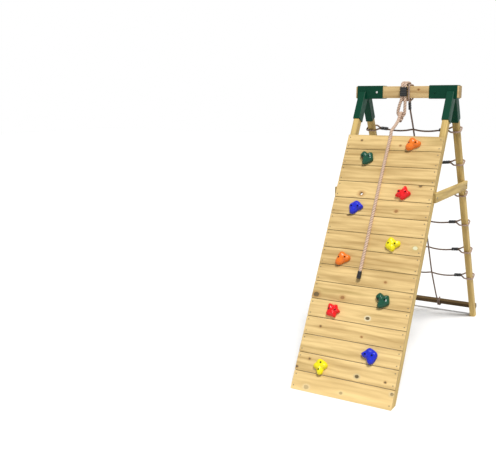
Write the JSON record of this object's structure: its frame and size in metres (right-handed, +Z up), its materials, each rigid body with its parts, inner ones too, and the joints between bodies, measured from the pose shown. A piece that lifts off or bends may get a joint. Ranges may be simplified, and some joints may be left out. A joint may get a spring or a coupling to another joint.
{
  "type": "rock climbing wall",
  "caption": "Free-standing A-frame play wall: slanted timber boards with climbing holds and a rope in front, a rope climbing net behind.",
  "frame": {"origin": "on the ground under the middle of the beam, between the feet of the two leaning sides", "axes": "+Z up, X along the beam, the boarded wall faces -Y and the rope net faces +Y"},
  "size_m": [0.806, 2.4201, 2.1344],
  "materials": {
    "timber": "sawn and planed pressure-treated softwood, light straw brown",
    "board_wood": "planed softwood boards with knots, pale straw",
    "green_steel": "dark green powder coat, semi-gloss",
    "net_rope": "thin laid polypropylene rope, greyish brown",
    "rope": "thick laid rope, pinkish beige",
    "black_plastic": "moulded black plastic",
    "hold_orange": "moulded orange resin, fine texture",
    "hold_green": "moulded dark green resin, fine texture",
    "hold_red": "moulded red resin, fine texture",
    "hold_blue": "moulded blue resin, fine texture",
    "hold_yellow": "moulded yellow resin, fine texture"
  },
  "bodies": {
    "frame": {"board_01": "board_wood", "board_02": "board_wood", "board_03": "board_wood", "board_04": "board_wood", "board_05": "board_wood", "board_06": "board_wood", "board_07": "board_wood", "board_08": "board_wood", "board_09": "board_wood", "board_10": "board_wood", "board_11": "board_wood", "board_12": "board_wood", "board_13": "board_wood", "board_14": "board_wood", "board_15": "board_wood", "front_leg_left": "timber", "front_leg_right": "timber", "back_leg_left": "timber", "back_leg_right": "timber", "beam": "timber", "bracket_left": "green_steel", "bracket_right": "green_steel", "side_brace_left": "timber", "side_brace_right": "timber", "crossbar": "timber", "hold_01_orange": "hold_orange", "hold_02_green": "hold_green", "hold_03_red": "hold_red", "hold_04_blue": "hold_blue", "hold_05_yellow": "hold_yellow", "hold_06_orange": "hold_orange", "hold_07_green": "hold_green", "hold_08_red": "hold_red", "hold_09_blue": "hold_blue", "hold_10_yellow": "hold_yellow", "net_rung_1": "net_rope", "net_rung_2": "net_rope", "net_rung_3": "net_rope", "net_rung_4": "net_rope", "net_rung_5": "net_rope", "net_rung_6": "net_rope", "net_centre_rope": "net_rope", "net_ferrule_1_left": "black_plastic", "net_ferrule_1_right": "black_plastic", "net_ferrule_2_left": "black_plastic", "net_ferrule_2_right": "black_plastic", "net_ferrule_3_left": "black_plastic", "net_ferrule_3_right": "black_plastic", "net_ferrule_4_left": "black_plastic", "net_ferrule_4_right": "black_plastic", "net_ferrule_5_left": "black_plastic", "net_ferrule_5_right": "black_plastic", "net_ferrule_6_left": "black_plastic", "net_ferrule_6_right": "black_plastic", "net_ferrule_top": "black_plastic", "sling_rope": "rope", "sling_ferrule": "black_plastic"},
    "eye": {"sling_eye": "rope"},
    "rope": {"climbing_rope": "rope", "rope_end_cap": "black_plastic"}
  },
  "joints": [
    {"name": "side_swing", "type": "hinge", "parent": "frame", "child": "eye", "pos_m": [-0.01, -0.064, 2.02], "axis": [0, -0.8746, 0.4848], "range_deg": [-3.5, 5]},
    {"name": "rope_swing", "type": "hinge", "parent": "eye", "child": "rope", "pos_m": [-0.0215, -0.064, 1.87], "axis": [-1, 0, 0], "range_deg": [0, 60]}
  ]
}
